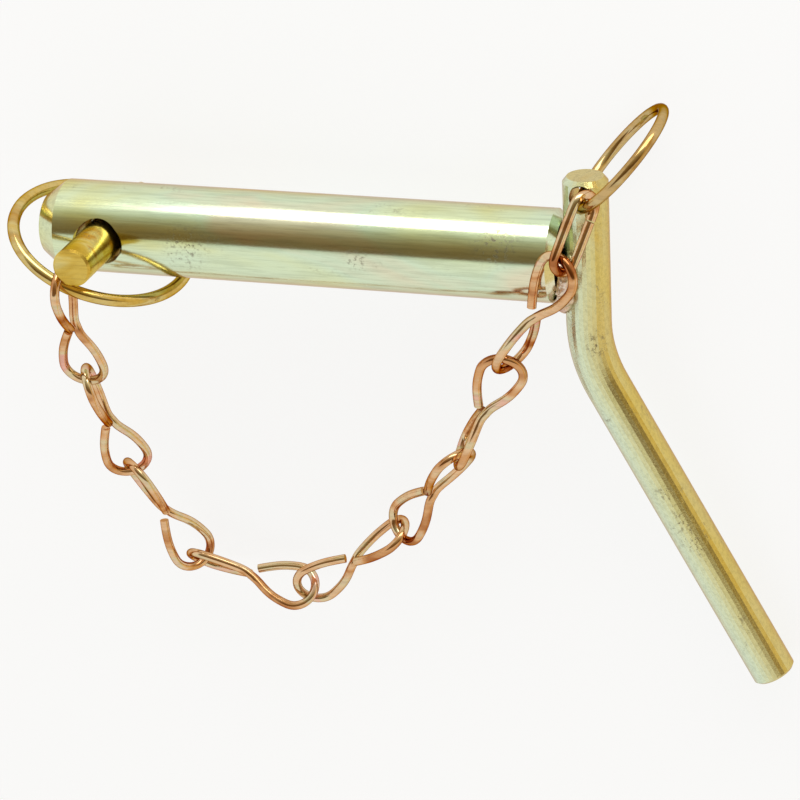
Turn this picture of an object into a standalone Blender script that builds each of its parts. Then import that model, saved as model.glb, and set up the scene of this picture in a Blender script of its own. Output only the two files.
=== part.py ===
"""Top link pin for a tractor linkage: a turned pin with a bent handle welded to its end.

A linchpin with a wire ring locks the free end. A jack chain of figure-eight links ties the
linchpin's ring to a second ring in the handle, so that the linchpin can't be lost.

The pieces are modelled in the pin's own frame: X runs along the pin from its free end to
the handle, Y towards the handle's short upper end, and Z towards the linchpin's tip. The
whole assembly then lies on the ground as it would come to rest, on the linchpin's head,
the handle's lower end and the handle ring. Lengths are in metres.
"""
import math

import bmesh
import bpy
from mathutils import Matrix, Vector

# Fits between separate pieces
WELD_GAP = 0.0003
SEAT_GAP = 0.0003
LINK_PLAY = 0.00055
RING_PLAY = 0.0007

# Pin
PIN_DIAMETER = 0.025
PIN_LENGTH = 0.145
NOSE_LENGTH = 0.0056
NOSE_DEPTH = 0.004
TAIL_CHAMFER = 0.002
PIN_SIDES = 64

# Cross hole for the linchpin
CROSS_HOLE_DIAMETER = 0.0131
CROSS_HOLE_FROM_NOSE = 0.0187
CROSS_HOLE_EDGE = 0.0006

# Handle
BAR_DIAMETER = 0.012
BAR_TOP = 0.0227
BAR_TOP_EDGE = 0.0014
BEND_BELOW_AXIS = 0.0274
BEND_ANGLE = math.radians(28.6)
BEND_RADIUS = 0.038
BAR_LOWER_LENGTH = 0.1034
BAR_LOWER_EDGE = 0.0007
RING_HOLE_DIAMETER = 0.0064
RING_HOLE_BELOW_TOP = 0.0045
RING_HOLE_EDGE = 0.0008

# Weld between the pin and the handle
BEAD_RADIUS = 0.0034
BEAD_OFFSET = 0.0056
BEAD_START_ABOVE_AXIS = 0.0015
BEAD_TURN_IN = 0.0045
BEAD_DROP = 0.9
BEAD_SLIM = 0.4
BEAD_END_WIDTH = 0.55
BEAD_LUMP = 0.00035

# Linchpin
STUD_DIAMETER = 0.0106
STUD_TIP = 0.0307
STUD_EDGE = 0.0006
STUD_FLAT_FROM_AXIS = 0.0036
STUD_FLAT_TURN = math.radians(-21.5)
HEAD_THICKNESS = 0.010
HEAD_WIDTH = 0.017
HEAD_HEIGHT = 0.0132
HEAD_EDGE = 0.0022
EYE_BELOW_SEAT = 0.0071
EYE_DIAMETER = 0.0054

# Linchpin ring: an oval that passes through the eye in the head
SPRING_WIRE = 0.0034
SPRING_LONG = 0.0249
SPRING_SHORT = 0.0218
SPRING_EYE_STATION = math.radians(-124.3)
SPRING_NORMAL = (0.474, 0.855, 0.209)
SPRING_LONG_AXIS = (-0.770, 0.287, 0.570)
SPRING_CHAIN_STATION = math.radians(55.97)

# Handle ring: a circle that leans in the hole
LOOP_WIRE = 0.0028
LOOP_RADIUS = 0.0162
LOOP_TURN = math.radians(47.5)
LOOP_LEAN = 0.155
LOOP_SKEW = 0.132
LOOP_SHIFT = -0.0012
LOOP_CHAIN_STATION = math.radians(47.39)

# Chain: figure-eight links, and a short oval link at the handle ring
LINK_WIRE = 0.0025
LINK_PITCH = 0.0374
LINK_EYE_RADIUS = 0.0059
LINK_END_FROM_MIDDLE = 0.0044
LINK_ROLLS = tuple(math.radians(angle) for angle in (88.4, 69.6, 47.6, 47.9, 18.1, -28.2, -74.7, -114.1))
END_LINK_PITCH = 0.0163
END_LINK_RADIUS = 0.0037
END_LINK_ROLL = math.radians(-130.0)
END_LINK_SLIT = 0.0005
CHAIN_GUIDE_PITCH = 0.0374
CHAIN_GUIDE_END_PITCH = 0.0163
CHAIN_GUIDE_START = (0.01259, -0.00752, 0.02471)
CHAIN_GUIDE = (
    (0.01120, -0.04018, 0.01190),
    (0.01567, -0.07441, -0.00249),
    (0.02907, -0.10765, -0.01262),
    (0.06480, -0.11127, -0.00617),
    (0.09392, -0.08856, -0.00658),
    (0.11507, -0.05958, 0.00250),
    (0.13138, -0.02742, 0.01056),
    (0.14924, 0.00454, 0.01793),
)
CHAIN_GUIDE_END = (0.15397, 0.01868, 0.01247)
GROUND_PLAY = 0.0003

PIN_RADIUS = PIN_DIAMETER / 2
BAR_RADIUS = BAR_DIAMETER / 2
BAR_X = PIN_LENGTH + WELD_GAP + BAR_RADIUS
RING_HOLE = Vector((BAR_X, BAR_TOP - RING_HOLE_BELOW_TOP, 0.0))
SEAT_Z = -PIN_RADIUS - SEAT_GAP
EYE = Vector((CROSS_HOLE_FROM_NOSE, 0.0, SEAT_Z - EYE_BELOW_SEAT))
UP = Vector((0.0, 0.0, 1.0))


def clear_scene():
    for obj in list(bpy.data.objects):
        bpy.data.objects.remove(obj, do_unlink=True)


def new_collection(name):
    collection = bpy.data.collections.new(name)
    bpy.context.scene.collection.children.link(collection)
    return collection


def metal(name, color, roughness):
    material = bpy.data.materials.new(name)
    material.use_nodes = True
    shader = material.node_tree.nodes["Principled BSDF"]
    shader.inputs["Base Color"].default_value = (*color, 1.0)
    shader.inputs["Metallic"].default_value = 1.0
    shader.inputs["Roughness"].default_value = roughness
    return material


def add_object(name, mesh, collection, matrix=None, material=None, parent=None):
    obj = bpy.data.objects.new(name, mesh)
    collection.objects.link(obj)
    if material is not None and not mesh.materials:
        mesh.materials.append(material)
    if parent is not None:
        obj.parent = parent
    obj.matrix_local = matrix if matrix is not None else Matrix.Identity(4)
    return obj


def smooth(mesh, angle=40.0):
    mesh.shade_smooth()
    mesh.set_sharp_from_angle(angle=math.radians(angle))


def turned(name, profile, sides, collection, matrix, **place):
    """A turned piece: an outer profile of (radius, height), top to bottom, swept about Z."""
    mesh = bpy.data.meshes.new(name)
    points = [(radius, 0.0, height) for radius, height in profile]
    edges = [(i, i + 1) for i in range(len(points) - 1)]
    mesh.from_pydata(points, edges, [])
    obj = add_object(name, mesh, collection, matrix, **place)
    screw = obj.modifiers.new("turn", "SCREW")
    screw.angle = math.tau
    screw.steps = screw.render_steps = sides
    screw.use_merge_vertices = True
    screw.merge_threshold = 1e-5
    screw.use_smooth_shade = True
    return obj


def boolean(obj, cutter, operation="DIFFERENCE"):
    modifier = obj.modifiers.new(operation.lower(), "BOOLEAN")
    modifier.operation = operation
    modifier.object = cutter
    modifier.solver = "EXACT"


def as_cutter(obj):
    obj.hide_render = True
    obj.display_type = "WIRE"
    return obj


def wire_mesh(name, points, wire, closed, sides_level, widths=None):
    """The mesh of a round wire along points, with its end caps welded on."""
    curve = bpy.data.curves.new(name, "CURVE")
    curve.dimensions = "3D"
    curve.resolution_u = 1
    curve.render_resolution_u = 0
    curve.bevel_depth = wire / 2
    curve.bevel_resolution = sides_level
    curve.use_fill_caps = not closed
    spline = curve.splines.new("POLY")
    spline.points.add(len(points) - 1)
    for index, point in enumerate(points):
        spline.points[index].co = (*point, 1.0)
        spline.points[index].radius = widths[index] if widths else 1.0
    spline.use_cyclic_u = closed
    temp = bpy.data.objects.new(name, curve)
    bpy.context.scene.collection.objects.link(temp)
    bpy.context.view_layer.update()
    mesh = bpy.data.meshes.new_from_object(temp.evaluated_get(bpy.context.evaluated_depsgraph_get()))
    bpy.data.objects.remove(temp, do_unlink=True)
    bpy.data.curves.remove(curve)
    work = bmesh.new()
    work.from_mesh(mesh)
    bmesh.ops.remove_doubles(work, verts=work.verts, dist=1e-6)
    bmesh.ops.recalc_face_normals(work, faces=work.faces)
    work.to_mesh(mesh)
    work.free()
    mesh.name = name
    mesh.materials.clear()
    smooth(mesh)
    return mesh


def along(axis, origin):
    """A placement whose Z runs along axis."""
    return Matrix.Translation(origin) @ axis.to_track_quat("Z", "Y").to_matrix().to_4x4()


def drill_profile(diameter, reach, edge, depth):
    """A drill's profile that also breaks the rims, which lie at +depth and -depth."""
    radius = diameter / 2
    wide = radius + edge + (reach - depth)
    return [
        (0.0, reach), (wide, reach), (radius, depth - edge),
        (radius, edge - depth), (wide, -reach), (0.0, -reach),
    ]


def make_pin(collection, cutters, material, root):
    radius = PIN_RADIUS
    profile = [
        (0.0, PIN_LENGTH), (radius - TAIL_CHAMFER, PIN_LENGTH), (radius, PIN_LENGTH - TAIL_CHAMFER),
        (radius, NOSE_LENGTH), (radius - NOSE_DEPTH, 0.0), (0.0, 0.0),
    ]
    pin = turned("pin", profile, PIN_SIDES, collection, along(Vector((1, 0, 0)), Vector()),
                 material=material, parent=root)
    drill = turned("cross_hole", drill_profile(CROSS_HOLE_DIAMETER, PIN_RADIUS + 0.004,
                                               CROSS_HOLE_EDGE, PIN_RADIUS),
                   40, cutters, Matrix.Translation((CROSS_HOLE_FROM_NOSE, 0, 0)), parent=root)
    boolean(pin, as_cutter(drill))
    return pin


def bar_points(edge_top, edge_low):
    """The handle's centre line from its upper end to its lower end, and its end bevels."""
    tangent = BEND_RADIUS * math.tan(BEND_ANGLE / 2)
    centre = Vector((BAR_X + BEND_RADIUS, -BEND_BELOW_AXIS + tangent, 0))
    points = [Vector((BAR_X, BAR_TOP, 0)), Vector((BAR_X, BAR_TOP - edge_top, 0))]
    steps = 9
    for step in range(steps + 1):
        turn = BEND_ANGLE * step / steps
        points.append(centre + BEND_RADIUS * Vector((-math.cos(turn), -math.sin(turn), 0)))
    down = Vector((math.sin(BEND_ANGLE), -math.cos(BEND_ANGLE), 0))
    end = Vector((BAR_X, -BEND_BELOW_AXIS, 0)) + BAR_LOWER_LENGTH * down
    points += [end - edge_low * down, end]
    widths = [1.0] * len(points)
    widths[0] = 1.0 - edge_top * 0.8 / BAR_RADIUS
    widths[-1] = 1.0 - edge_low / BAR_RADIUS
    return points, widths


def make_handle(collection, cutters, material, root):
    points, widths = bar_points(BAR_TOP_EDGE, BAR_LOWER_EDGE)
    mesh = wire_mesh("handle", points, BAR_DIAMETER, False, 14, widths)
    handle = add_object("handle", mesh, collection, material=material, parent=root)
    drill = turned("ring_hole", drill_profile(RING_HOLE_DIAMETER, BAR_RADIUS + 0.003,
                                              RING_HOLE_EDGE, BAR_RADIUS),
                   32, cutters, Matrix.Translation(RING_HOLE), parent=root)
    boolean(handle, as_cutter(drill))
    return handle


def make_weld(collection, cutters, material, root):
    """A lumpy bead round the lower half of the joint, from the front to the back."""
    turn_y = BEAD_TURN_IN - PIN_RADIUS
    drop = BEAD_DROP * BEAD_OFFSET
    x = PIN_LENGTH + 0.3 * BEAD_RADIUS
    straight, around = 8, 12
    front = [Vector((x, BEAD_START_ABOVE_AXIS, BEAD_OFFSET)).lerp(Vector((x, turn_y, BEAD_OFFSET)), step / straight)
             for step in range(straight)]
    turns = [math.pi * step / around for step in range(around + 1)]
    below = [Vector((x, turn_y - drop * math.sin(turn), BEAD_OFFSET * math.cos(turn))) for turn in turns]
    back = [Vector((x, point.y, -point.z)) for point in reversed(front)]
    points = front + below + back
    slim = [1.0] * straight + [1.0 - BEAD_SLIM * math.sin(turn) for turn in turns] + [1.0] * straight
    lump = BEAD_LUMP / BEAD_RADIUS
    widths = [width + lump * math.sin(2.1 * index) for index, width in enumerate(slim)]
    widths[0] = widths[-1] = BEAD_END_WIDTH
    mesh = wire_mesh("weld_bead", points, 2 * BEAD_RADIUS, False, 4, widths)
    bead = add_object("weld_bead", mesh, collection, material=material, parent=root)
    gap = WELD_GAP + 0.00005
    radius = PIN_RADIUS + gap
    chamfer = TAIL_CHAMFER
    profile = [
        (0.0, PIN_LENGTH + gap), (radius - chamfer, PIN_LENGTH + gap), (radius, PIN_LENGTH + gap - chamfer),
        (radius, PIN_LENGTH - 0.02), (0.0, PIN_LENGTH - 0.02),
    ]
    pin_room = turned("pin_room", profile, PIN_SIDES, cutters, along(Vector((1, 0, 0)), Vector()),
                      parent=root)
    bar_room_profile = [(0.0, 0.03), (BAR_RADIUS + gap, 0.03), (BAR_RADIUS + gap, -0.03), (0.0, -0.03)]
    bar_room = turned("bar_room", bar_room_profile, 36, cutters,
                      along(Vector((0, 1, 0)), Vector((BAR_X, 0, 0))), parent=root)
    boolean(bead, as_cutter(pin_room))
    boolean(bead, as_cutter(bar_room))
    return bead


def spring_frame():
    """The linchpin ring's centre, long axis, short axis and normal."""
    normal = Vector(SPRING_NORMAL).normalized()
    long_axis = Vector(SPRING_LONG_AXIS)
    long_axis = (long_axis - long_axis.dot(normal) * normal).normalized()
    short_axis = normal.cross(long_axis)
    station = SPRING_EYE_STATION
    centre = EYE - (SPRING_LONG * math.cos(station) * long_axis
                    + SPRING_SHORT * math.sin(station) * short_axis)
    return centre, long_axis, short_axis, normal


def spring_point(station):
    centre, long_axis, short_axis, _ = spring_frame()
    return (centre + SPRING_LONG * math.cos(station) * long_axis
            + SPRING_SHORT * math.sin(station) * short_axis)


def eye_axis():
    """The direction of the linchpin ring's wire in the eye, which is its hinge line."""
    _, long_axis, short_axis, _ = spring_frame()
    station = SPRING_EYE_STATION
    line = (-SPRING_LONG * math.sin(station) * long_axis
            + SPRING_SHORT * math.cos(station) * short_axis)
    return line.normalized()


def make_linchpin(collection, cutters, material, root):
    radius = STUD_DIAMETER / 2
    foot = SEAT_Z - HEAD_HEIGHT / 2
    profile = [
        (0.0, STUD_TIP), (radius - STUD_EDGE, STUD_TIP), (radius, STUD_TIP - STUD_EDGE),
        (radius, foot), (0.0, foot),
    ]
    place = Matrix.Translation((CROSS_HOLE_FROM_NOSE, 0, 0))
    stud = turned("linchpin", profile, 32, collection, place, material=material, parent=root)
    line = eye_axis()
    turn = math.atan2(line.y, line.x)
    bpy.ops.mesh.primitive_cube_add(size=1.0)
    head = bpy.context.object
    head.name = "linchpin_head"
    head.data.transform(Matrix.Diagonal((HEAD_THICKNESS, HEAD_WIDTH, HEAD_HEIGHT, 1.0)))
    for holder in list(head.users_collection):
        holder.objects.unlink(head)
    cutters.objects.link(head)
    head.parent = root
    head.matrix_local = (Matrix.Translation((CROSS_HOLE_FROM_NOSE, 0, SEAT_Z - HEAD_HEIGHT / 2))
                         @ Matrix.Rotation(turn, 4, "Z"))
    edge = head.modifiers.new("forged_edges", "BEVEL")
    edge.width = HEAD_EDGE
    edge.segments = 3
    boolean(stud, as_cutter(head), "UNION")
    flat_length = STUD_TIP + PIN_RADIUS
    bpy.ops.mesh.primitive_cube_add(size=1.0)
    flat = bpy.context.object
    flat.name = "stud_flat"
    depth = STUD_DIAMETER
    flat.data.transform(Matrix.Translation((0, STUD_FLAT_FROM_AXIS + depth / 2, 0))
                        @ Matrix.Diagonal((2 * STUD_DIAMETER, depth, flat_length, 1.0)))
    for holder in list(flat.users_collection):
        holder.objects.unlink(flat)
    cutters.objects.link(flat)
    flat.parent = root
    flat.matrix_local = (Matrix.Translation((CROSS_HOLE_FROM_NOSE, 0, STUD_TIP + SEAT_GAP - flat_length / 2))
                         @ Matrix.Rotation(STUD_FLAT_TURN, 4, "Z"))
    boolean(stud, as_cutter(flat))
    drill = turned("eye", [(0.0, HEAD_WIDTH), (EYE_DIAMETER / 2, HEAD_WIDTH),
                           (EYE_DIAMETER / 2, -HEAD_WIDTH), (0.0, -HEAD_WIDTH)],
                   24, cutters, along(line, EYE), parent=root)
    boolean(stud, as_cutter(drill))
    return stud


def make_linchpin_ring(collection, material, root):
    steps = 60
    points = [spring_point(SPRING_EYE_STATION + math.tau * step / steps) - EYE for step in range(steps)]
    mesh = wire_mesh("linchpin_ring", points, SPRING_WIRE, True, 3)
    return add_object("linchpin_ring", mesh, collection, Matrix.Translation(EYE),
                      material=material, parent=root)


def loop_frame():
    """The handle ring's centre, the way from the hole to it, and the wire's line in the hole."""
    away = Vector((math.cos(LOOP_TURN), math.sin(LOOP_TURN), 0))
    side = away.cross(UP)
    line = (UP - LOOP_LEAN * away + LOOP_SKEW * side).normalized()
    inward = (away - away.dot(line) * line).normalized()
    centre = RING_HOLE + LOOP_SHIFT * away + LOOP_RADIUS * inward
    return centre, inward, line


def loop_point(station):
    centre, inward, line = loop_frame()
    return centre + LOOP_RADIUS * (math.sin(station) * line - math.cos(station) * inward)


def make_handle_ring(collection, material, root):
    steps = 56
    points = [loop_point(math.tau * step / steps) - RING_HOLE for step in range(steps)]
    mesh = wire_mesh("handle_ring", points, LOOP_WIRE, True, 3)
    return add_object("handle_ring", mesh, collection, Matrix.Translation(RING_HOLE),
                      material=material, parent=root)


def link_reach():
    """How far a link's end wire lies past the point where it bears on its neighbour."""
    return (LINK_WIRE + LINK_PLAY) / 2


def link_eye_points():
    """One eye of a link in its plane (out, side), from its cut end round to the middle."""
    out = LINK_PITCH / 2 + link_reach() - LINK_EYE_RADIUS
    half = math.asin(LINK_EYE_RADIUS / out)
    start = Vector((math.cos(half), -math.sin(half))) * LINK_END_FROM_MIDDLE
    reach = math.sqrt(out * out - LINK_EYE_RADIUS ** 2)
    bend_in = Vector((math.cos(half), -math.sin(half))) * reach
    points = [start, start.lerp(bend_in, 0.5)]
    steps = 12
    sweep = math.pi + 2 * half
    for step in range(steps + 1):
        turn = -sweep / 2 + sweep * step / steps
        points.append(Vector((out + LINK_EYE_RADIUS * math.cos(turn), LINK_EYE_RADIUS * math.sin(turn))))
    back = Vector((math.cos(half), math.sin(half)))
    points.append(back * (0.55 * reach))
    points.append(back * LINK_END_FROM_MIDDLE * 0.8)
    return points


def link_points():
    """The centre line of a figure-eight link, its two eyes a quarter turn apart."""
    middle = LINK_PITCH / 2
    eye = link_eye_points()
    first = [Vector((middle - p.x, p.y, 0)) for p in eye]
    second = [Vector((middle + p.x, 0, p.y)) for p in reversed(eye)]
    waist = []
    for part in (0.25, 0.5, 0.75):
        a = first[-1].lerp(Vector((middle, 0, 0)), part)
        b = Vector((middle, 0, 0)).lerp(second[0], part)
        waist.append(a.lerp(b, part))
    return first + waist + second


def end_link_points():
    """The centre line of the short oval link, open by a slit in one of its sides."""
    near = -link_reach() + END_LINK_RADIUS
    far = END_LINK_PITCH + end_link_reach() - END_LINK_RADIUS
    radius = END_LINK_RADIUS
    steps = 8
    arc = [math.pi * step / steps for step in range(steps + 1)]
    slit = near + 0.8 * (far - near)
    points = [Vector((slit + END_LINK_SLIT / 2, radius, 0))]
    points += [Vector((far + radius * math.sin(turn), radius * math.cos(turn), 0)) for turn in arc]
    points += [Vector((near - radius * math.sin(turn), -radius * math.cos(turn), 0)) for turn in arc]
    points.append(Vector((slit - END_LINK_SLIT / 2, radius, 0)))
    return points


def spring_reach():
    """How far link 1's end wire lies past the middle of the linchpin ring's wire."""
    return (SPRING_WIRE + LINK_WIRE) / 2 + RING_PLAY


def end_link_reach():
    return (LOOP_WIRE + LINK_WIRE) / 2 + RING_PLAY


def pull_together(points, lengths):
    """One pass from each end that brings neighbouring points to their distance apart."""
    last = len(points) - 1
    for index in range(1, last):
        anchor = points[index - 1]
        points[index] = anchor + lengths[index - 1] * (points[index] - anchor).normalized()
    for index in range(last - 1, 0, -1):
        anchor = points[index + 1]
        points[index] = anchor + lengths[index] * (points[index] - anchor).normalized()


def lay_chain(start, end, ground):
    """Where the links bear on each other, from the linchpin ring to the handle ring.

    The guide gives the chain's lie for links of its own pitch, and follows its two ends.
    The points are then pulled to the links' lengths, and lifted clear of the ground.
    """
    points = [Vector(p) for p in (CHAIN_GUIDE_START, *CHAIN_GUIDE, CHAIN_GUIDE_END)]
    longer = [LINK_PITCH - CHAIN_GUIDE_PITCH] * len(CHAIN_GUIDE) + [END_LINK_PITCH - CHAIN_GUIDE_END_PITCH]
    lengths = [(b - a).length + extra for a, b, extra in zip(points, points[1:], longer)]
    last = len(points) - 1
    shift_start, shift_end = start - points[0], end - points[last]
    for index in range(last + 1):
        part = index / last
        points[index] += shift_start * (1 - part) + shift_end * part
    origin, normal = ground
    shape = link_points()
    for _ in range(40):
        for _ in range(20):
            pull_together(points, lengths)
        for index, matrix in enumerate(link_matrices(points)[:-1]):
            heights = [(matrix @ point - origin).dot(normal) for point in shape]
            low = min(heights) - LINK_WIRE / 2 - GROUND_PLAY
            if low < 0:
                points[index + 1] -= low * normal
                if index:
                    points[index] -= low * normal
    return points


def link_matrices(points):
    """Placements of the links: X along each, origin where it bears on the one before."""
    ways = [(after - before).normalized() for before, after in zip(points, points[1:])]
    rolls = [*LINK_ROLLS, END_LINK_ROLL]
    reach = link_reach()
    matrices = []
    for index, way in enumerate(ways):
        is_first, is_last = index == 0, index + 1 == len(ways)
        near = points[index] - (spring_reach() * way if is_first else reach * (ways[index - 1] + way).normalized())
        far = points[index + 1] + (end_link_reach() * way if is_last
                                   else reach * (way + ways[index + 1]).normalized())
        x_axis = (far - near).normalized()
        flat = UP.cross(x_axis).normalized()
        y_axis = math.cos(rolls[index]) * flat + math.sin(rolls[index]) * x_axis.cross(flat)
        turn = Matrix((x_axis, y_axis, x_axis.cross(y_axis))).transposed().to_4x4()
        length = reach + END_LINK_PITCH + end_link_reach() if is_last else LINK_PITCH + 2 * reach
        origin = (near + far - length * x_axis) / 2 + reach * x_axis
        matrices.append(Matrix.Translation(origin) @ turn)
    return matrices


def make_chain(collection, material, root, ground):
    start = spring_point(SPRING_CHAIN_STATION)
    end = loop_point(LOOP_CHAIN_STATION)
    matrices = link_matrices(lay_chain(start, end, ground))
    mesh = wire_mesh("link", link_points(), LINK_WIRE, False, 2)
    links = [add_object(f"link_{index + 1}", mesh, collection, matrix, material=material, parent=root)
             for index, matrix in enumerate(matrices[:-1])]
    end_mesh = wire_mesh("end_link", end_link_points(), LINK_WIRE, False, 2)
    links.append(add_object("end_link", end_mesh, collection, matrices[-1], material=material, parent=root))
    return links


def mesh_points(obj):
    bpy.context.view_layer.update()
    shape = obj.evaluated_get(bpy.context.evaluated_depsgraph_get())
    mesh = shape.to_mesh()
    points = [obj.matrix_local @ vertex.co for vertex in mesh.vertices]
    shape.to_mesh_clear()
    return points


def find_ground(supports):
    """The plane that the three supports stand on, as a point and an upward normal."""
    clouds = [mesh_points(obj) for obj in supports]
    normal = UP.copy()
    for _ in range(12):
        feet = [min(cloud, key=lambda point: point.dot(normal)) for cloud in clouds]
        normal = (feet[1] - feet[0]).cross(feet[2] - feet[0]).normalized()
        if normal.z < 0:
            normal = -normal
    return feet[0], normal


def lay_down(root, objects, ground):
    """Turns the assembly so that its ground is level, and puts the origin below its middle."""
    _, normal = ground
    level = normal.rotation_difference(UP).to_matrix().to_4x4()
    points = [level @ point for obj in objects for point in mesh_points(obj)]
    low = [min(point[axis] for point in points) for axis in range(3)]
    high = [max(point[axis] for point in points) for axis in range(3)]
    middle = Vector(((low[0] + high[0]) / 2, (low[1] + high[1]) / 2, low[2]))
    root.matrix_world = Matrix.Translation(-middle) @ level
    bpy.context.view_layer.update()


def main():
    clear_scene()
    parts = new_collection("top_link_pin")
    cutters = new_collection("cutters")
    root = bpy.data.objects.new("assembly", None)
    parts.objects.link(root)
    bright_zinc = metal("yellow passivated zinc on turned steel", (0.72, 0.70, 0.52), 0.22)
    dull_zinc = metal("yellow passivated zinc on drawn bar", (0.70, 0.66, 0.42), 0.34)
    gold_zinc = metal("yellow passivated zinc on spring wire", (0.66, 0.50, 0.20), 0.25)
    copper_zinc = metal("yellow passivated zinc on chain wire", (0.62, 0.36, 0.17), 0.28)
    weld_steel = metal("passivated weld bead", (0.72, 0.60, 0.52), 0.5)
    pin = make_pin(parts, cutters, bright_zinc, root)
    handle = make_handle(parts, cutters, dull_zinc, root)
    weld = make_weld(parts, cutters, weld_steel, root)
    linchpin = make_linchpin(parts, cutters, gold_zinc, root)
    linchpin_ring = make_linchpin_ring(parts, gold_zinc, root)
    handle_ring = make_handle_ring(parts, copper_zinc, root)
    ground = find_ground((linchpin, handle, handle_ring))
    links = make_chain(parts, copper_zinc, root, ground)
    lay_down(root, [pin, handle, weld, linchpin, linchpin_ring, handle_ring, *links], ground)


main()
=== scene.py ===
"""Looks of a top link pin: yellow passivated zinc on turned, drawn, forged and bent steel.

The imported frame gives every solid. This script finishes them all, and makes the pin, the
weld, the linchpin, the rings and the chain again in their own places, with finer wire and
crisper edges. It also sets the stage and the camera.
"""
import math

import bpy
from mathutils import Matrix, Vector


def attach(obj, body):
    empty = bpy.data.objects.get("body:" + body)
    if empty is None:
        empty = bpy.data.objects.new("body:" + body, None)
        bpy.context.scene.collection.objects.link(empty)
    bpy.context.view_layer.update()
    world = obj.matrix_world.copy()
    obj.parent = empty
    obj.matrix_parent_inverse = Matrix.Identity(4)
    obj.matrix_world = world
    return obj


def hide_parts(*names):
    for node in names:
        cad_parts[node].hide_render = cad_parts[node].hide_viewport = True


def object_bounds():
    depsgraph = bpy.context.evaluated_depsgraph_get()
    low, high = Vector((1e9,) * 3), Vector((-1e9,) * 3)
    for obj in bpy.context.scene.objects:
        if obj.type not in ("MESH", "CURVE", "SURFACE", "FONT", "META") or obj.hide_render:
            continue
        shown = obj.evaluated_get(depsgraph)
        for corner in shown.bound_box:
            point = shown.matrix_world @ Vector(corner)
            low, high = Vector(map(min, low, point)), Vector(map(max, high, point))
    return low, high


bl_info = {
    "name": "Top Link Pin",
    "version": (1, 0, 0),
    "blender": (4, 5, 0),
    "location": "3D View > Sidebar > Link Pin",
    "description": "Finishes, stage and camera of a linkage pin with its linchpin and chain",
    "category": "Object",
}

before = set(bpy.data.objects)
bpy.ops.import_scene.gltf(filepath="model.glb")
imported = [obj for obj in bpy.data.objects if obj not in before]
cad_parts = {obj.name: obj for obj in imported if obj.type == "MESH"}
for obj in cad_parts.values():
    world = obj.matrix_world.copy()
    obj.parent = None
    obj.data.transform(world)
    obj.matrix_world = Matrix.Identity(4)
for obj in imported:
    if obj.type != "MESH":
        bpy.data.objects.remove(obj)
cad_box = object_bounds()

MM = 0.001

# How the object lies on the ground: X along the pin from its nose, Z toward the linchpin's tip
LIE = Matrix(((0.99617, 0.00162, 0.08745, -0.09899), (0.00162, 0.99932, -0.03686, 0.03889),
              (-0.08745, 0.03686, 0.99549, 0.02784), (0, 0, 0, 1)))

# Where each link lies, in mm: the two points where it bears on its neighbours, and its roll
LINKS = (
    ("link_1", (-84.13, 32.52, 51.92), (-86.74, -1.75, 37.16), 262.9),
    ("link_2", (-86.73, -1.65, 37.20), (-83.52, -35.35, 21.30), 244.4),
    ("link_3", (-83.58, -35.13, 21.39), (-70.55, -67.92, 8.97), 223.6),
    ("link_4", (-71.64, -67.37, 9.05), (-34.57, -71.45, 11.88), 49.5),
    ("link_5", (-35.65, -71.65, 11.84), (-6.04, -48.87, 10.00), 202.8),
    ("link_6", (-6.43, -49.27, 9.96), (15.79, -20.31, 18.11), 157.2),
    ("link_7", (15.56, -20.69, 18.01), (32.90, 11.51, 25.88), 110.9),
    ("link_8", (32.76, 11.26, 25.81), (51.14, 43.16, 32.42), 71.4),
)
END_LINK = ("end_link", (51.01, 42.78, 32.51), (55.55, 57.56, 27.34), -124.3)

# From one bearing point of a link to the other, and how far its wire's middle line goes past
# them, in mm
LINK_PITCH = 37.4
LINK_REACH = 1.525
END_PITCH = 16.3
END_REACH = 3.35

# The pin in its own frame, in mm, and where the linchpin, its head and its eye sit in it
PIN_LENGTH = 145
PIN_RADIUS = 12.5
HOLE_X = 18.7
HEAD_TOP = -12.8
EYE_HEIGHT = -19.9
EYE_LINE = (-0.8800, 0.4678, 0.0820)
FLAT_TURN = math.radians(-21.5)

# The two rings in the pin's frame: middle, directions and radii, in mm
SPRING_MIDDLE = (15.598, -3.733, 2.408)
SPRING_NORMAL = (0.474, 0.855, 0.209)
SPRING_LONG_WAY = (-0.770, 0.287, 0.570)
SPRING_RADII = (24.9, 21.85)
ROUND_MIDDLE = (161.544, 28.903, 2.439)
ROUND_WAYS = ((-0.67872, -0.73346, -0.03703), (0.07118, -0.11589, 0.99071))
ROUND_RADIUS = 16.2


def linear(code):
    """The linear RGBA of an sRGB hex colour."""
    values = [int(code[i:i + 2], 16) / 255 for i in (1, 3, 5)]
    return (*(v / 12.92 if v <= 0.04045 else ((v + 0.055) / 1.055) ** 2.4 for v in values), 1.0)


def add(tree, kind, settings=None, stops=None, **inputs):
    """Adds a node with its settings, and its inputs as values or as sockets to link.

    An input is named with _ for a space, or i0, i1 and so on for its number. Stops are
    places and colours, on a node that has a colour ramp.
    """
    node = tree.nodes.new(kind)
    for name, value in (settings or {}).items():
        setattr(node, name, value)
    if stops:
        elements = node.color_ramp.elements
        elements.remove(elements[-1])
        elements[0].position, elements[0].color = stops[0]
        for place, color in stops[1:]:
            elements.new(place).color = color
    for name, value in inputs.items():
        socket = node.inputs[int(name[1:]) if name[1:].isdigit() else name.replace("_", " ")]
        if isinstance(value, bpy.types.NodeSocket):
            tree.links.new(value, socket)
        else:
            socket.default_value = value
    return node


def grey(value):
    return (value, value, value, 1.0)


def by_angle(stops):
    """Stops of a ramp that runs once round the room, given in degrees from straight up."""
    return [((angle + 180) / 360, color) for angle, color in stops]


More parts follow.
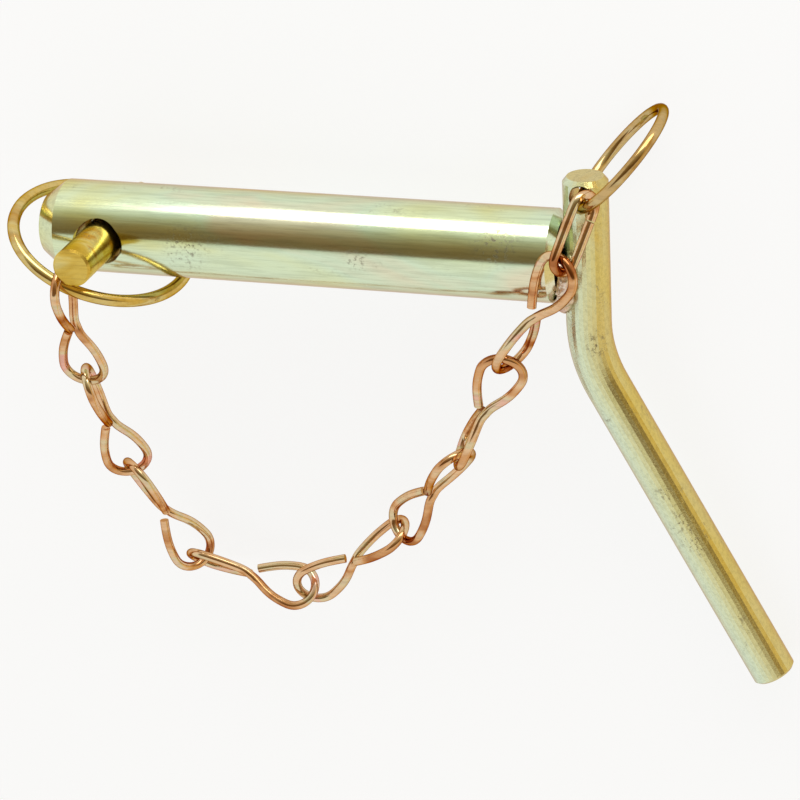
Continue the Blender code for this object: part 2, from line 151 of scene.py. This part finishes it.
def passivated_zinc(name, tones, rough, grain, drift_mm, turn=0.0, edge="#E3C9C0", wear=0.4,
                    marks=(), painted_side_tint=None, lay=0.07):
    """Zinc plate under a thin chromate film, whose tint drifts from place to place.

    tones run from the thickest film to the thinnest. Marks are scuffed places on the
    surface, as (x, y, z, radius) in mm in the pin's frame. Turn swings the lay of the
    surface from the pin's line to the bar's. The side tint, a way and its colours, is a
    painted reflection: the surface is tinted toward gold where it faces that way and toward
    mint where it faces away, mixed into the film's own drifting tint. Lay is how
    far the fine lines of the surface are drawn out, from long ones up to round grains at 1.
    """
    material = bpy.data.materials.new(name)
    material.use_nodes = True
    tree = material.node_tree
    shader = tree.nodes["Principled BSDF"]
    spin = (LIE.to_3x3() @ Matrix.Rotation(turn, 3, "Z")).inverted().to_euler()
    place = add(tree, "ShaderNodeTexCoord").outputs["Object"]
    surface = add(tree, "ShaderNodeMapping", Vector=place, Rotation=spin).outputs[0]
    drawn = add(tree, "ShaderNodeMapping", Vector=surface, Scale=(0.4, 1.0, 1.0)).outputs[0]
    lines = add(tree, "ShaderNodeMapping", Vector=surface, Scale=(lay, 1.0, 1.0)).outputs[0]
    # Each pattern has its size in mm. Real streaks and grit are some hundredths of a mm and
    # too fine to show, so they are drawn as coarse as they need to be.
    patterns = ((drawn, drift_mm, 3.0, 0.5, 0.6), (lines, 0.9, 4.0, 0.6, 0.0),
                (surface, 0.42, 2.0, 0.6, 0.0), (surface, 1.3, 5.0, 0.75, 0.0),
                (drawn, 8.0, 4.0, 0.6, 0.0))
    film, streaks, grit, pits, patches = (
        add(tree, "ShaderNodeTexNoise", Vector=vector, Scale=1.0 / (size * MM), Detail=detail,
            Roughness=roughness, Distortion=distortion).outputs["Fac"]
        for vector, size, detail, roughness, distortion in patterns)
    tint = add(tree, "ShaderNodeValToRGB", Fac=film, stops=[
        (0.32 + 0.09 * index, linear(code)) for index, code in enumerate(tones)]).outputs["Color"]
    # Painted reflection: a side tint that follows which way the surface faces, gold toward the
    # given way and mint away from it
    if painted_side_tint:
        way, colors = painted_side_tint
        normal = add(tree, "ShaderNodeTexCoord").outputs["Normal"]
        facing = add(tree, "ShaderNodeVectorMath", {"operation": "DOT_PRODUCT"}, i0=normal,
                     i1=tuple(LIE.to_3x3() @ Vector(way))).outputs["Value"]
        facing = add(tree, "ShaderNodeMath", {"operation": "MULTIPLY_ADD"}, i0=film, i1=0.5,
                     i2=facing).outputs[0]
        share = add(tree, "ShaderNodeMapRange", Value=facing, i1=-0.75, i2=1.25, i3=0.0,
                    i4=1.0).outputs[0]
        side = add(tree, "ShaderNodeValToRGB", Fac=share, stops=[
            (0.32 + 0.2 * index, linear(code)) for index, code in enumerate(colors)])
        tint = add(tree, "ShaderNodeMix", {"data_type": "RGBA"}, Factor=0.75, i6=tint,
                   i7=side.outputs["Color"]).outputs[2]
    # Fine streaks and grains darken the film a little
    shade = add(tree, "ShaderNodeValToRGB", Fac=streaks,
                stops=[(0.36, grey(0.86)), (0.56, grey(1.0))]).outputs["Color"]
    base = add(tree, "ShaderNodeMix", {"data_type": "RGBA", "blend_type": "MULTIPLY"},
               Factor=1.0, i6=tint, i7=shade).outputs[2]
    # Small pits and rubs, in patches, where the plate is dull and grey
    patch = add(tree, "ShaderNodeValToRGB", Fac=patches,
                stops=[(0.56, grey(0.0)), (0.66, grey(wear))]).outputs["Color"]
    for x, y, z, radius in marks:
        spot = tuple(LIE @ Vector((x * MM, y * MM, z * MM)))
        far = add(tree, "ShaderNodeVectorMath", {"operation": "DISTANCE"}, i0=place,
                  i1=spot).outputs["Value"]
        near = add(tree, "ShaderNodeMapRange", Value=far, i1=0.0, i2=radius * MM, i3=1.0,
                   i4=0.0).outputs[0]
        patch = add(tree, "ShaderNodeMath", {"operation": "MAXIMUM"}, i0=patch,
                    i1=near).outputs[0]
    bites = add(tree, "ShaderNodeValToRGB", Fac=pits,
                stops=[(0.53, grey(0.0)), (0.60, grey(1.0))]).outputs["Color"]
    worn = add(tree, "ShaderNodeMath", {"operation": "MULTIPLY", "use_clamp": True}, i0=patch,
               i1=bites).outputs[0]
    base = add(tree, "ShaderNodeMix", {"data_type": "RGBA"}, Factor=worn, i6=base,
               i7=linear("#7C7262")).outputs[2]
    dull = add(tree, "ShaderNodeMapRange", Value=grit, i1=0.3, i2=0.7, i3=rough * 0.85,
               i4=rough * 1.2).outputs[0]
    dull = add(tree, "ShaderNodeMath", {"operation": "MULTIPLY_ADD"}, i0=worn, i1=0.3,
               i2=dull).outputs[0]
    height = add(tree, "ShaderNodeMath", {"operation": "MULTIPLY_ADD"}, i0=worn, i1=-1.5,
                 i2=grit).outputs[0]
    bump = add(tree, "ShaderNodeBump", Height=height, Strength=grain,
               Distance=0.06 * MM).outputs[0]
    tree.links.new(base, shader.inputs["Base Color"])
    tree.links.new(dull, shader.inputs["Roughness"])
    tree.links.new(bump, shader.inputs["Normal"])
    shader.inputs["Metallic"].default_value = 1.0
    shader.inputs["Specular Tint"].default_value = linear(edge)
    return material


def settle(piece, node, material, body):
    """Puts a new piece in its node's place, on its node's body, with its finish."""
    for face in piece.data.polygons:
        face.use_smooth = True
    piece.data.set_sharp_from_angle(angle=math.radians(30))
    piece.data.materials.clear()
    piece.data.materials.append(material)
    bpy.context.scene.collection.objects.link(piece)
    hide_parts(node)
    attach(piece, body)
    return piece


def as_piece(name, source, place):
    """The mesh of a curve or a modified object, moved to its place in the world."""
    bpy.context.scene.collection.objects.link(source)
    graph = bpy.context.evaluated_depsgraph_get()
    mesh = bpy.data.meshes.new_from_object(source.evaluated_get(graph), depsgraph=graph)
    if not mesh.polygons:
        raise RuntimeError(name + " came out with no faces")
    mesh.transform(place)
    mesh.name = name
    bpy.data.objects.remove(source)
    return bpy.data.objects.new(name, mesh)


def ring_line(middle, first_way, second_way, steps):
    """Points round a ring, from its middle and its two half axes, in mm."""
    turns = (math.tau * step / steps for step in range(steps))
    return [middle + math.cos(turn) * first_way + math.sin(turn) * second_way for turn in turns]


def bent_wire(name, points, wire, closed, place):
    """A round wire, in mm, that follows the points as a smooth line."""
    curve = bpy.data.curves.new(name, "CURVE")
    curve.dimensions = "3D"
    curve.bevel_depth = wire * MM / 2
    curve.bevel_resolution = 6
    curve.use_fill_caps = True
    curve.resolution_u = 4
    line = curve.splines.new("NURBS")
    line.points.add(len(points) - 1)
    for knot, point in zip(line.points, points):
        knot.co = (*(Vector(point) * MM), 1.0)
    line.use_cyclic_u = closed
    line.use_endpoint_u = not closed
    line.order_u = 4
    return as_piece(name, bpy.data.objects.new(name, curve), place)


def turned(name, profile, sides, place):
    """A lathe turned solid about Z, from (radius, height) in mm, top first, as an object."""
    rows = [(radius * MM, height * MM) for radius, height in profile]
    verts, faces = [], []
    for radius, height in rows:
        for side in range(sides):
            turn = math.tau * side / sides
            verts.append((radius * math.cos(turn), radius * math.sin(turn), height))
    for row in range(len(rows) - 1):
        for side in range(sides):
            after = (side + 1) % sides
            low, high = row * sides, (row + 1) * sides
            faces.append((low + side, high + side, high + after, low + after))
    faces.append(tuple(range(sides)))
    faces.append(tuple(reversed(range(len(verts) - sides, len(verts)))))
    mesh = bpy.data.meshes.new(name)
    mesh.from_pydata([place @ Vector(v) for v in verts], [], faces)
    return bpy.data.objects.new(name, mesh)


def block(name, outline, depth, place, edge=0.0):
    """A solid of an outline in its XZ plane, in mm, with its depth along Y and rounded edges."""
    count = len(outline)
    verts = [place @ Vector((x * MM, side * depth * MM / 2, z * MM))
             for side in (-1, 1) for x, z in outline]
    faces = [(i, (i + 1) % count, count + (i + 1) % count, count + i) for i in range(count)]
    faces += [tuple(reversed(range(count))), tuple(range(count, 2 * count))]
    mesh = bpy.data.meshes.new(name)
    mesh.from_pydata(verts, [], faces)
    piece = bpy.data.objects.new(name, mesh)
    if edge:
        rounding = piece.modifiers.new("rounding", "BEVEL")
        rounding.width, rounding.segments = edge * MM, 4
        rounding.limit_method, rounding.angle_limit = "ANGLE", math.radians(50)
        piece = as_piece(name, piece, Matrix())
    return piece


def joined(name, first, other, operation, place=Matrix()):
    """One solid of two, by union or by cutting the other out."""
    bpy.context.scene.collection.objects.link(other)
    cut = first.modifiers.new("cut", "BOOLEAN")
    cut.operation, cut.solver, cut.object = operation, "EXACT", other
    piece = as_piece(name, first, place)
    bpy.data.objects.remove(other)
    return piece


def drill(name, radius, reach, edge, depth, place):
    """A drill that also breaks the rims of its hole, which lie depth from the middle."""
    wide = radius + edge + reach - depth
    profile = ((wide, reach), (radius, depth - edge), (radius, edge - depth), (wide, -reach))
    return turned(name, profile, 64, place)


class LINKPIN_PG_sizes(bpy.types.PropertyGroup):
    """The sizes and colours of the metal pieces"""
    pin_rough: bpy.props.FloatProperty(
        name="Pin roughness", description="Roughness of the turned pin's plate",
        default=0.15, min=0, max=1, subtype="FACTOR")
    bar_rough: bpy.props.FloatProperty(
        name="Bar roughness", description="Roughness of the drawn bar's plate",
        default=0.23, min=0, max=1, subtype="FACTOR")
    wire_rough: bpy.props.FloatProperty(
        name="Wire roughness", description="Roughness of the rings and the chain",
        default=0.11, min=0, max=1, subtype="FACTOR")
    chain_wire: bpy.props.FloatProperty(
        name="Chain wire", description="Diameter of the chain's wire, in mm",
        default=2.5, min=1, max=4)
    eye_radius: bpy.props.FloatProperty(
        name="Eye radius", description="Middle radius of a chain link's eye, in mm",
        default=5.9, min=4, max=8)
    linchpin_ring_wire: bpy.props.FloatProperty(
        name="Linchpin ring wire", description="Diameter of the linchpin ring's wire, in mm",
        default=3.4, min=1, max=5)
    handle_ring_wire: bpy.props.FloatProperty(
        name="Handle ring wire", description="Diameter of the handle ring's wire, in mm",
        default=2.8, min=1, max=5)
    thin_film: bpy.props.StringProperty(
        name="Thin film", default="#DDE8BE",
        description="The pin's tint where its film is thinnest, as an sRGB hex colour")
    chain_film: bpy.props.StringProperty(
        name="Chain film", default="#D6A06C",
        description="The chain's main tint, as an sRGB hex colour")


class LINKPIN_PG_stage(bpy.types.PropertyGroup):
    """Where the camera stands, and the lamp"""
    azimuth: bpy.props.FloatProperty(
        name="Azimuth", description="Where the camera stands round the object",
        default=math.radians(136.72), subtype="ANGLE", unit="ROTATION")
    elevation: bpy.props.FloatProperty(
        name="Elevation", description="How far the camera looks down", default=math.radians(58.13),
        subtype="ANGLE", unit="ROTATION")
    roll: bpy.props.FloatProperty(
        name="Roll", description="How far the camera is turned about its line of sight",
        default=math.radians(-134.46), subtype="ANGLE", unit="ROTATION")
    distance: bpy.props.FloatProperty(
        name="Distance", description="From the aim to the camera", default=0.7827,
        subtype="DISTANCE", unit="LENGTH")
    aim: bpy.props.FloatVectorProperty(
        name="Aim", description="The point in the middle of the picture",
        default=(0.0029, -0.0015, 0.0281), subtype="XYZ", unit="LENGTH")
    lens: bpy.props.FloatProperty(
        name="Lens", description="Focal length on a sensor 36 mm wide", default=131.72,
        subtype="DISTANCE_CAMERA")
    lamp_power: bpy.props.FloatProperty(
        name="Lamp power", description="Power of the softbox", default=4.6, min=0, subtype="POWER",
        unit="POWER")


class LINKPIN_OT_pin(bpy.types.Operator):
    """Make the turned pin with its chamfers and cross hole"""
    bl_idname = "linkpin.pin"
    bl_label = "Turned Pin"

    def execute(self, context):
        sizes = context.scene.linkpin_sizes
        # Steel turned smooth, plated with bright zinc and passivated yellow. The film is thin here,
        # so the pin looks silvery, with drifts of straw, green and pink, and it mirrors the room.
        finish = passivated_zinc(
            "yellow passivated zinc on turned steel",
            ("#DCD084", "#E0E09E", sizes.thin_film, "#D8E8C8", "#E4DEBE"),
            sizes.pin_rough, 0.10, 26,
            marks=((44, 0, PIN_RADIUS, 8), (130, 7, 10.4, 8), (92, 0, PIN_RADIUS, 4)))
        tail, nose = (PIN_RADIUS, PIN_LENGTH - 2), (PIN_RADIUS, 5.6)
        body = turned("pin", ((PIN_RADIUS - 2, PIN_LENGTH), tail, nose, (PIN_RADIUS - 4, 0)), 128,
                      Matrix.Rotation(math.radians(90), 4, "Y"))
        hole = drill("cross_hole", 6.55, 16.5, 0.6, PIN_RADIUS,
                     Matrix.Translation((HOLE_X * MM, 0, 0)))
        settle(joined("turned_pin", body, hole, "DIFFERENCE", LIE), "pin", finish,
               "pin_and_handle")
        return {"FINISHED"}


class LINKPIN_OT_handle(bpy.types.Operator):
    """Finish the handle's bar and the weld"""
    bl_idname = "linkpin.handle"
    bl_label = "Handle and Weld"

    def execute(self, context):
        sizes = context.scene.linkpin_sizes
        # Bar drawn cold and plated as it came, so its skin has a fine grain and a thicker film
        bar = passivated_zinc(
            "yellow passivated zinc on drawn bar",
            ("#D6C88C", "#DCD6A2", "#DCE0BC", "#D6E2CC", "#E0D8AE"),
            sizes.bar_rough, 0.4, 20, turn=math.radians(-61), wear=0.6, lay=0.8,
            marks=((155, -22, 5.5, 5), (172, -64, 4.5, 4)),
            # Painted reflection: the bar's faces turned along this way are tinted gold and the
            # others mint
            painted_side_tint=((0.88, 0.42, 0.2), ("#D6E6CC", "#DCE4BC", "#DCD08A", "#D8B950")))
        # Weld metal laid down by hand, pinkish and lumpy, with dark pits
        weld = passivated_zinc(
            "yellow passivated zinc on weld metal",
            ("#B89A80", "#D8BEA8", "#E3C9B8", "#E6D9C4", "#CFA98F"),
            0.3, 0.6, 4, wear=1.0, lay=1.0)
        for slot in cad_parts["handle"].material_slots:
            slot.material = bar
        settle(self.bead(), "weld_bead", weld, "pin_and_handle")
        return {"FINISHED"}

    def bead(self):
        """The weld's own bead, rounder, with the lumps that it froze in"""
        bead = bpy.data.objects.new("laid_bead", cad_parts["weld_bead"].data.copy())
        rounder = bead.modifiers.new("rounder", "REMESH")
        rounder.mode, rounder.voxel_size = "VOXEL", 0.45 * MM
        bead.modifiers.new("melted", "SMOOTH").iterations = 6
        ripples = bpy.data.textures.new("weld ripples", "CLOUDS")
        ripples.noise_scale = 3.0 * MM
        lumps = bead.modifiers.new("lumps", "DISPLACE")
        lumps.texture, lumps.strength, lumps.mid_level = ripples, 1.8 * MM, 0.3
        lumps.texture_coords = "LOCAL"
        return as_piece("laid_bead", bead, Matrix())


class LINKPIN_OT_linchpin(bpy.types.Operator):
    """Make the linchpin and its ring"""
    bl_idname = "linkpin.linchpin"
    bl_label = "Linchpin and Ring"

    def execute(self, context):
        sizes = context.scene.linkpin_sizes
        # Forged steel under a thick film, deep straw gold
        forged = passivated_zinc(
            "yellow passivated zinc on forged steel",
            ("#BC9438", "#D0AC48", "#DABB5C", "#E0CC80", "#CFA04C"),
            0.22, 0.15, 8, edge="#E8D8A0", wear=0.5)
        # Hard drawn spring wire under the same thick film, smooth and bright
        spring = passivated_zinc(
            "yellow passivated zinc on spring wire",
            ("#BE9644", "#CFAA56", "#D8B868", "#D6C080", "#C89C54"),
            sizes.wire_rough, 0.1, 12, edge="#B89850", wear=0.2)
        settle(self.forging(), "linchpin", forged, "pin_and_handle")
        normal = Vector(SPRING_NORMAL).normalized()
        long_way = Vector(SPRING_LONG_WAY)
        long_way = (long_way - long_way.dot(normal) * normal).normalized()
        long_radius, short_radius = SPRING_RADII
        oval = ring_line(Vector(SPRING_MIDDLE), long_radius * long_way,
                         short_radius * normal.cross(long_way), 48)
        ring = bent_wire("spring_ring", oval, sizes.linchpin_ring_wire, True, LIE)
        settle(ring, "linchpin_ring", spring, "linchpin_ring")
        return {"FINISHED"}

    def forging(self):
        """The stud with its flat, on a head that narrows to a round lug with the ring's eye"""
        seat = Matrix.Translation((HOLE_X * MM, 0, HEAD_TOP * MM))
        line = Vector(EYE_LINE)
        swing = seat @ Matrix.Rotation(math.atan2(line.y, line.x) + math.pi / 2, 4, "Z")
        stud = turned("stud", ((4.7, 43.4), (5.3, 42.8), (5.3, -4), (4.6, -4.4)), 64, seat)
        lug = [(5.0 * math.sin(turn), -6.7 - 5.0 * math.cos(turn))
               for turn in (math.radians(angle) for angle in range(-100, 101, 10))]
        outline = [(-7.2, -2.0), *lug, (7.2, -2.0), (7.2, 0), (-7.2, 0)]
        head = block("head", outline, 6.6, swing, 1.3)
        flat = block("flat", [(-12, -12.5), (12, -12.5), (12, 33), (-12, 33)], 10.6,
                     Matrix.Translation((HOLE_X * MM, 0, 0)) @ Matrix.Rotation(FLAT_TURN, 4, "Z")
                     @ Matrix.Translation((0, 8.9 * MM, 0)))
        piece = joined("linchpin_forging", head, stud, "UNION")
        piece = joined("linchpin_forging", piece, flat, "DIFFERENCE")
        eye = turned("eye", ((2.7, 12), (2.7, -12)), 48,
                     Matrix.Translation((HOLE_X * MM, 0, EYE_HEIGHT * MM))
                     @ line.to_track_quat("Z", "Y").to_matrix().to_4x4())
        return joined("linchpin_forging", piece, eye, "DIFFERENCE", LIE)


class LINKPIN_OT_chain(bpy.types.Operator):
    """Make the chain and the handle's ring"""
    bl_idname = "linkpin.chain"
    bl_label = "Chain and Handle Ring"

    def execute(self, context):
        sizes = context.scene.linkpin_sizes
        # Soft drawn wire, bent cold and plated in bulk: copper gold, with pink and green tints
        finish = passivated_zinc(
            "yellow passivated zinc on chain wire",
            ("#B06E40", sizes.chain_film, "#E6BE92", "#DCCAA0", "#EAB4A0"),
            sizes.wire_rough, 0.1, 10, edge="#A86E48", wear=0.2)
        # The ring is of the same wire, a little thicker, and its film is browner
        ring_finish = passivated_zinc(
            "yellow passivated zinc on ring wire",
            ("#A98048", "#C09A60", "#CBAA72", "#D0BC8C", "#BE9260"),
            sizes.wire_rough, 0.1, 12, edge="#A8804C", wear=0.3)
        for name, near, far, roll in LINKS:
            link = bent_wire("bent_" + name, self.eight(sizes), sizes.chain_wire, False,
                             self.place(near, far, roll, LINK_PITCH))
            settle(link, name, finish, name)
        name, near, far, roll = END_LINK
        oval = bent_wire("bent_" + name, self.oval(), sizes.chain_wire, False,
                         self.place(near, far, roll, END_PITCH))
        settle(oval, name, finish, name)
        first_way, second_way = (ROUND_RADIUS * Vector(way) for way in ROUND_WAYS)
        circle = ring_line(Vector(ROUND_MIDDLE), first_way, second_way, 40)
        ring = bent_wire("round_ring", circle, sizes.handle_ring_wire, True, LIE)
        settle(ring, "handle_ring", ring_finish, "handle_ring")
        return {"FINISHED"}

    def place(self, near, far, roll, pitch):
        """X along a link from where it bears on the one before, Y in its first eye's plane"""
        near, far = Vector(near) * MM, Vector(far) * MM
        x_axis = (far - near).normalized()
        flat = Vector((0, 0, 1)).cross(x_axis).normalized()
        turn = math.radians(roll)
        y_axis = math.cos(turn) * flat + math.sin(turn) * x_axis.cross(flat)
        axes = Matrix((x_axis, y_axis, x_axis.cross(y_axis))).transposed().to_4x4()
        return Matrix.Translation((near + far - pitch * MM * x_axis) / 2) @ axes

    def eight(self, sizes):
        """A figure eight of one wire: both cut ends lie beside the waist"""
        middle = LINK_PITCH / 2
        radius = sizes.eye_radius
        out = middle + LINK_REACH - radius
        eye = [(1.4, -1.75), (3.0, -2.55), (5.6, -3.75), (9.0, -5.0)]
        for step in range(11):
            turn = math.radians(-100 + 20 * step)
            eye.append((out + radius * math.cos(turn), radius * math.sin(turn)))
        eye += [(9.0, 5.0), (5.6, 3.6), (3.0, 2.05), (1.2, 1.2)]
        first = [(middle - x, y, 0.25 if x < 2 and y > 0 else 0) for x, y in eye]
        second = [(middle + x, 0.25 if x < 2 and y > 0 else 0, y) for x, y in reversed(eye)]
        return first + [(middle, 0.8, 0.8)] + second

    def oval(self):
        """A short oval of one wire with a closed slit in one side"""
        radius = 3.7
        near, far = radius - LINK_REACH, END_PITCH + END_REACH - radius
        slit = near + 0.8 * (far - near)
        points = [(slit + 0.25, radius, 0)]
        for middle, way in ((far, 1), (near, -1)):
            for step in range(9):
                turn = math.radians(22.5 * step)
                points.append((middle + way * radius * math.sin(turn),
                               way * radius * math.cos(turn), 0))
        return points + [(slit - 0.25, radius, 0)]


class LINKPIN_OT_stage(bpy.types.Operator):
    """Set the floor, the light and the camera"""
    bl_idname = "linkpin.stage"
    bl_label = "Stage"

    def execute(self, context):
        settings = context.scene.linkpin_stage
        self.floor(context.scene)
        self.room(context.scene)
        self.lamp(context.scene, settings)
        self.camera(context.scene, settings)
        context.scene.view_settings.view_transform = "Standard"
        return {"FINISHED"}

    def floor(self, scene):
        half = 3.0
        mesh = bpy.data.meshes.new("floor")
        corners = [(-half, -half, 0), (half, -half, 0), (half, half, 0), (-half, half, 0)]
        mesh.from_pydata(corners, [], [(0, 1, 2, 3)])
        floor = bpy.data.objects.new("floor", mesh)
        floor.location.z = cad_box[0][2] - 0.2 * MM
        scene.collection.objects.link(floor)
        # Matt white paper. To the camera and in the metal it is lifted toward plain white, and
        # keeps a share of its shading, so the object's shadow stays.
        material = bpy.data.materials.new("matt white paper")
        material.use_nodes = True
        tree = material.node_tree
        paper = tree.nodes["Principled BSDF"]
        paper.inputs["Base Color"].default_value = linear("#EFEFEC")
        paper.inputs["Roughness"].default_value = 0.9
        paper.inputs["Specular IOR Level"].default_value = 0.1
        path = add(tree, "ShaderNodeLightPath")
        seen = path.outputs["Is Camera Ray"]
        for ray in ("Is Glossy Ray", "Is Transmission Ray"):
            seen = add(tree, "ShaderNodeMath", {"operation": "MAXIMUM"}, i0=seen,
                       i1=path.outputs[ray]).outputs[0]
        share = add(tree, "ShaderNodeMath", {"operation": "MULTIPLY"}, i0=seen, i1=0.78).outputs[0]
        white = add(tree, "ShaderNodeEmission", Color=grey(1.0), Strength=1.04).outputs[0]
        both = add(tree, "ShaderNodeMixShader", i0=share, i1=paper.outputs[0], i2=white).outputs[0]
        tree.links.new(both, tree.nodes["Material Output"].inputs["Surface"])
        mesh.materials.append(material)

    def room(self, scene):
        """A pale studio with a warm dim ceiling that fades into a bright wall on the far side.

        The stops are degrees from straight up, toward the far side.
        """
        world = bpy.data.worlds.new("studio")
        scene.world = world
        world.use_nodes = True
        tree = world.node_tree
        background = tree.nodes["Background"]
        way = add(tree, "ShaderNodeTexCoord").outputs["Generated"]
        parts = add(tree, "ShaderNodeSeparateXYZ", i0=way)
        shares = []
        for axis in ("Y", "X"):
            angle = add(tree, "ShaderNodeMath", {"operation": "ARCTAN2"}, i0=parts.outputs[axis],
                        i1=parts.outputs["Z"]).outputs[0]
            shares.append(add(tree, "ShaderNodeMapRange", Value=angle, i1=-math.pi, i2=math.pi,
                              i3=0.0, i4=1.0).outputs[0])
        wall = grey(0.92)
        stops = ((-14, wall), (-7.5, (0.80, 0.84, 0.78, 1)), (-5, (0.185, 0.120, 0.052, 1)),
                 (10, (0.20, 0.135, 0.060, 1)), (25, (0.28, 0.21, 0.11, 1)),
                 (43, (0.47, 0.44, 0.31, 1)), (56, (0.74, 0.76, 0.68, 1)), (66, grey(1.0)),
                 (100, grey(1.0)), (115, wall))
        across = add(tree, "ShaderNodeValToRGB", Fac=shares[0], stops=by_angle(stops))
        ends = add(tree, "ShaderNodeValToRGB", Fac=shares[1], stops=by_angle((
            (-42, grey(0.0)), (-33, grey(1.0)), (60, grey(1.0)), (76, grey(0.0)))))
        # The side wall behind the handle is warmer than the others
        sides = add(tree, "ShaderNodeValToRGB", Fac=shares[1], stops=by_angle((
            (0, wall), (40, (0.90, 0.84, 0.62, 1)), (75, (0.86, 0.72, 0.36, 1)),
            (110, (0.86, 0.74, 0.42, 1)), (150, wall))))
        light = add(tree, "ShaderNodeMix", {"data_type": "RGBA"}, Factor=ends.outputs["Color"],
                    i6=sides.outputs["Color"], i7=across.outputs["Color"]).outputs[2]
        # Seen past the floor's edge, the studio is as plain and white as the floor
        path = add(tree, "ShaderNodeLightPath")
        light = add(tree, "ShaderNodeMix", {"data_type": "RGBA"},
                    Factor=path.outputs["Is Camera Ray"], i6=light, i7=grey(0.96)).outputs[2]
        tree.links.new(light, background.inputs["Color"])
        background.inputs["Strength"].default_value = 1.0

    def lamp(self, scene, settings):
        light = bpy.data.lights.new("softbox", "AREA")
        light.shape = "RECTANGLE"
        light.size, light.size_y = 1.0, 0.44
        light.energy = settings.lamp_power
        lamp = bpy.data.objects.new("softbox", light)
        lamp.location = (0.1, 0.95, 0.235)
        lamp.rotation_euler = Vector(lamp.location).to_track_quat("Z", "Y").to_euler()
        scene.collection.objects.link(lamp)

    def camera(self, scene, settings):
        data = bpy.data.cameras.new("camera")
        data.sensor_width = 36.0
        data.lens = settings.lens
        camera = bpy.data.objects.new("camera", data)
        scene.collection.objects.link(camera)
        azimuth, elevation = settings.azimuth, settings.elevation
        back = Vector((math.sin(azimuth) * math.cos(elevation),
                       -math.cos(azimuth) * math.cos(elevation), math.sin(elevation)))
        right = Vector((math.cos(azimuth), math.sin(azimuth), 0))
        level = Matrix((right, back.cross(right), back)).transposed()
        turn = level @ Matrix.Rotation(settings.roll, 3, "Z")
        spot = Vector(settings.aim) + settings.distance * back
        camera.matrix_world = Matrix.Translation(spot) @ turn.to_4x4()
        scene.camera = camera


class LINKPIN_PT_panel(bpy.types.Panel):
    """The link pin's operators and settings"""
    bl_label = "Link Pin"
    bl_idname = "LINKPIN_PT_panel"
    bl_space_type = "VIEW_3D"
    bl_region_type = "UI"
    bl_category = "Link Pin"

    def draw(self, context):
        for step in STEPS:
            self.layout.operator(step.bl_idname)
        for group in (context.scene.linkpin_sizes, context.scene.linkpin_stage):
            for name in group.__annotations__:
                self.layout.prop(group, name)


STEPS = (LINKPIN_OT_pin, LINKPIN_OT_handle, LINKPIN_OT_linchpin, LINKPIN_OT_chain, LINKPIN_OT_stage)
CLASSES = (LINKPIN_PG_sizes, LINKPIN_PG_stage, *STEPS, LINKPIN_PT_panel)


def register():
    for cls in CLASSES:
        bpy.utils.register_class(cls)
    bpy.types.Scene.linkpin_sizes = bpy.props.PointerProperty(type=LINKPIN_PG_sizes)
    bpy.types.Scene.linkpin_stage = bpy.props.PointerProperty(type=LINKPIN_PG_stage)


def unregister():
    del bpy.types.Scene.linkpin_stage
    del bpy.types.Scene.linkpin_sizes
    for cls in reversed(CLASSES):
        bpy.utils.unregister_class(cls)


def main():
    register()
    bpy.ops.linkpin.pin()
    bpy.ops.linkpin.handle()
    bpy.ops.linkpin.linchpin()
    bpy.ops.linkpin.chain()
    bpy.ops.linkpin.stage()


if __name__ == "__main__":
    main()
